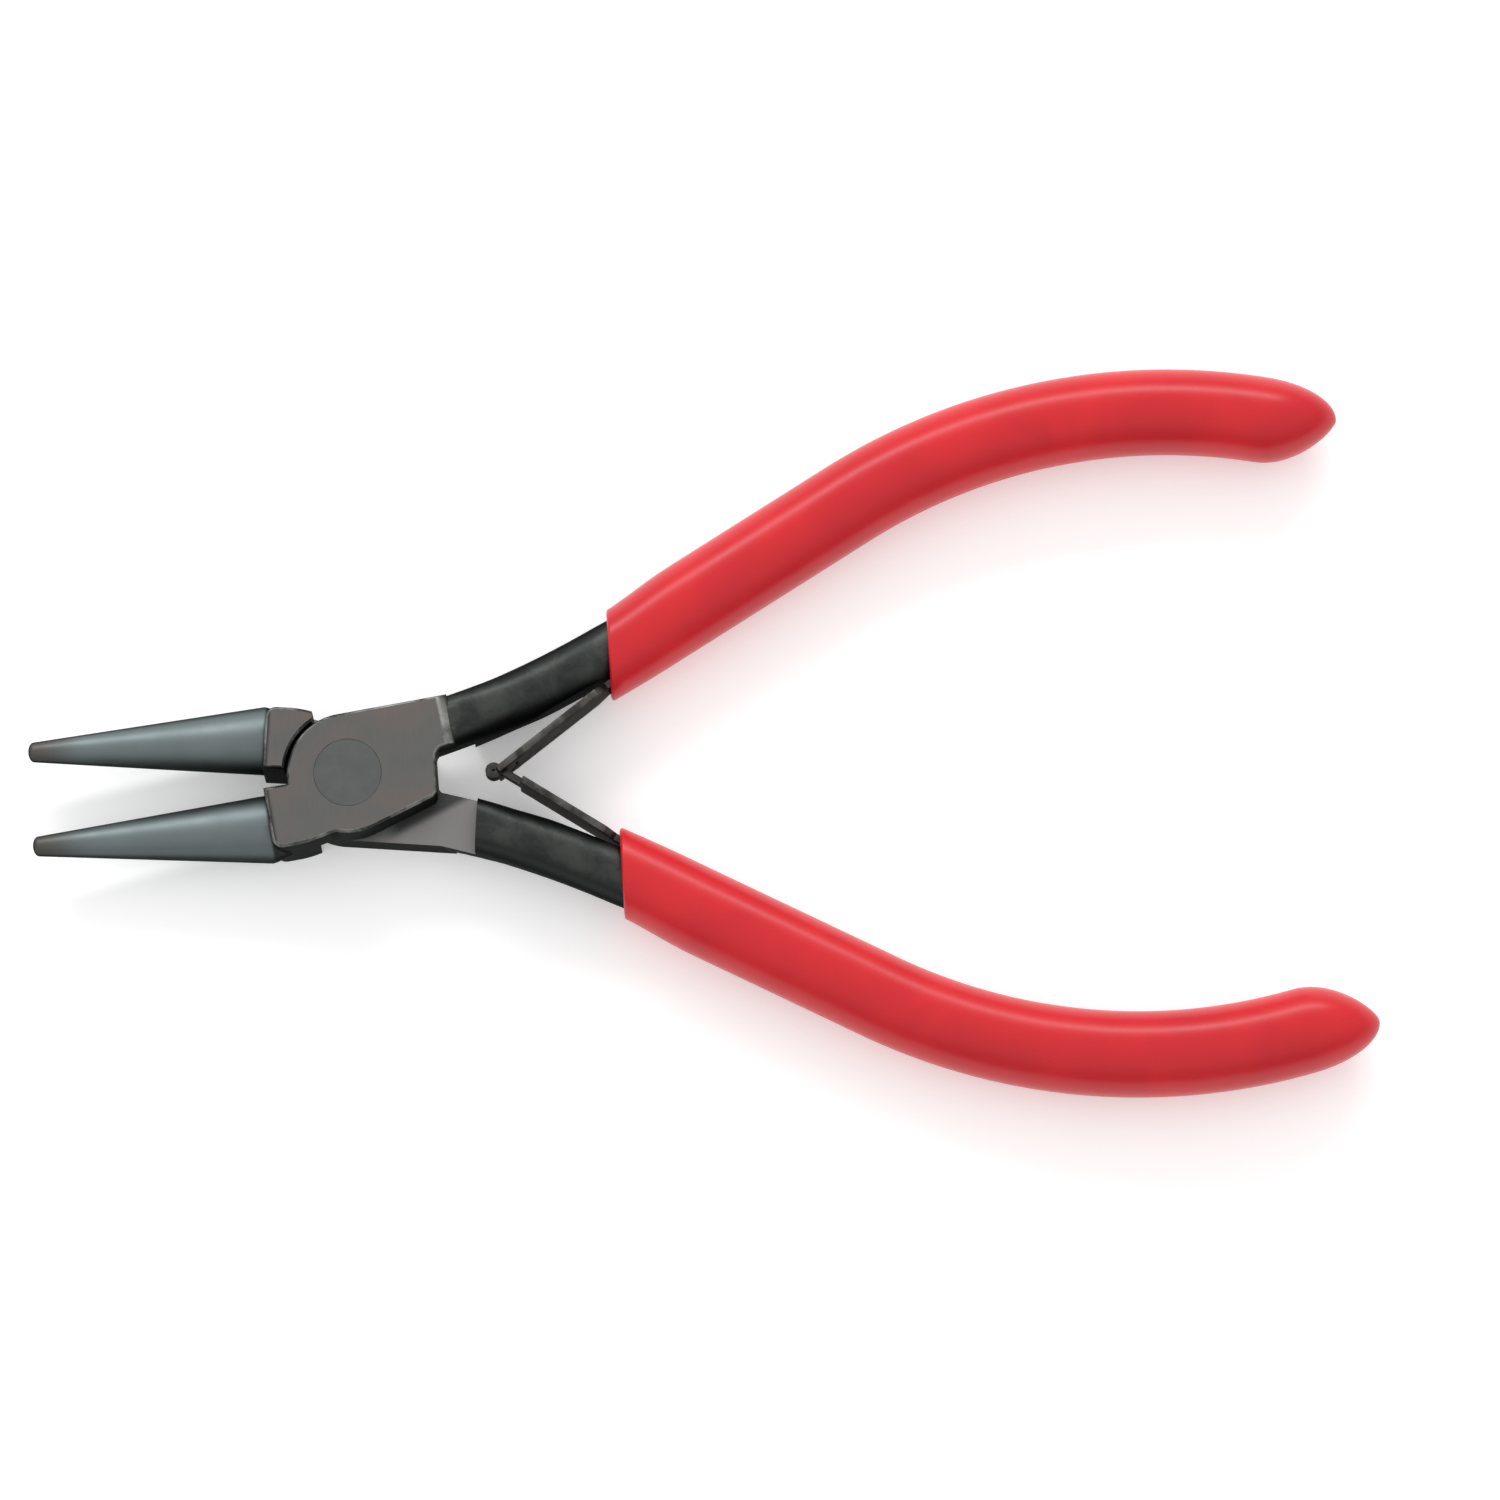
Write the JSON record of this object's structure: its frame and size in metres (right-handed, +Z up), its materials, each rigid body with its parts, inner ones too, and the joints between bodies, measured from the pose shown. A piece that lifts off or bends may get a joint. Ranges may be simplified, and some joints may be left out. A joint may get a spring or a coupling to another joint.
{
  "type": "round nose pliers",
  "caption": "Jeweller's round nose pliers: lap-jointed steel halves with tapering round jaws, dipped red grips and a double leaf spring that holds them open.",
  "frame": {"origin": "on the pivot's axis, at the back face of the joint, which the tool lies on", "axes": "+X from the pivot towards the ends of the grips, so the jaws point to -X; +Z up along the pivot, out of the front of the joint; +Y towards the front half's grip"},
  "size_m": [0.1123, 0.0622, 0.008],
  "materials": {
    "forged_steel": "dark grey-green forged steel, ground on the joint faces and jaws",
    "rivet_steel": "ground flush with the joint",
    "spring_steel": "blued strip steel",
    "red_vinyl": "smooth glossy dipped vinyl"
  },
  "bodies": {
    "front": {"front_half": "forged_steel", "pivot_rivet": "rivet_steel", "front_grip": "red_vinyl", "front_spring_rivet": "rivet_steel"},
    "back": {"back_half": "forged_steel", "back_grip": "red_vinyl", "back_spring_rivet": "rivet_steel"},
    "front_leaf": {"front_leaf_spring": "spring_steel"},
    "back_leaf": {"back_leaf_spring": "spring_steel"}
  },
  "joints": [
    {"name": "jaw_pivot", "type": "hinge", "parent": "front", "child": "back", "pos_m": [0, 0, 0.004], "axis": [0, 0, 1], "range_deg": [-4, 13.2], "stiffness_Nm_per_rad": 1.5},
    {"name": "front_leaf_flex", "type": "hinge", "parent": "front", "child": "front_leaf", "pos_m": [0.0231, 0.00715, 0.004], "axis": [0, 0, 1], "range_deg": [-7.9, 2.6], "deforming": ["front_leaf_spring"]},
    {"name": "back_leaf_flex", "type": "hinge", "parent": "back", "child": "back_leaf", "pos_m": [0.0231, -0.00715, 0.004], "axis": [0, 0, 1], "range_deg": [-2.6, 7.9], "deforming": ["back_leaf_spring"]}
  ],
  "couplings": [
    {"joint": "front_leaf_flex", "follows": "jaw_pivot", "ratio": -0.57},
    {"joint": "back_leaf_flex", "follows": "jaw_pivot", "ratio": 0.57}
  ]
}
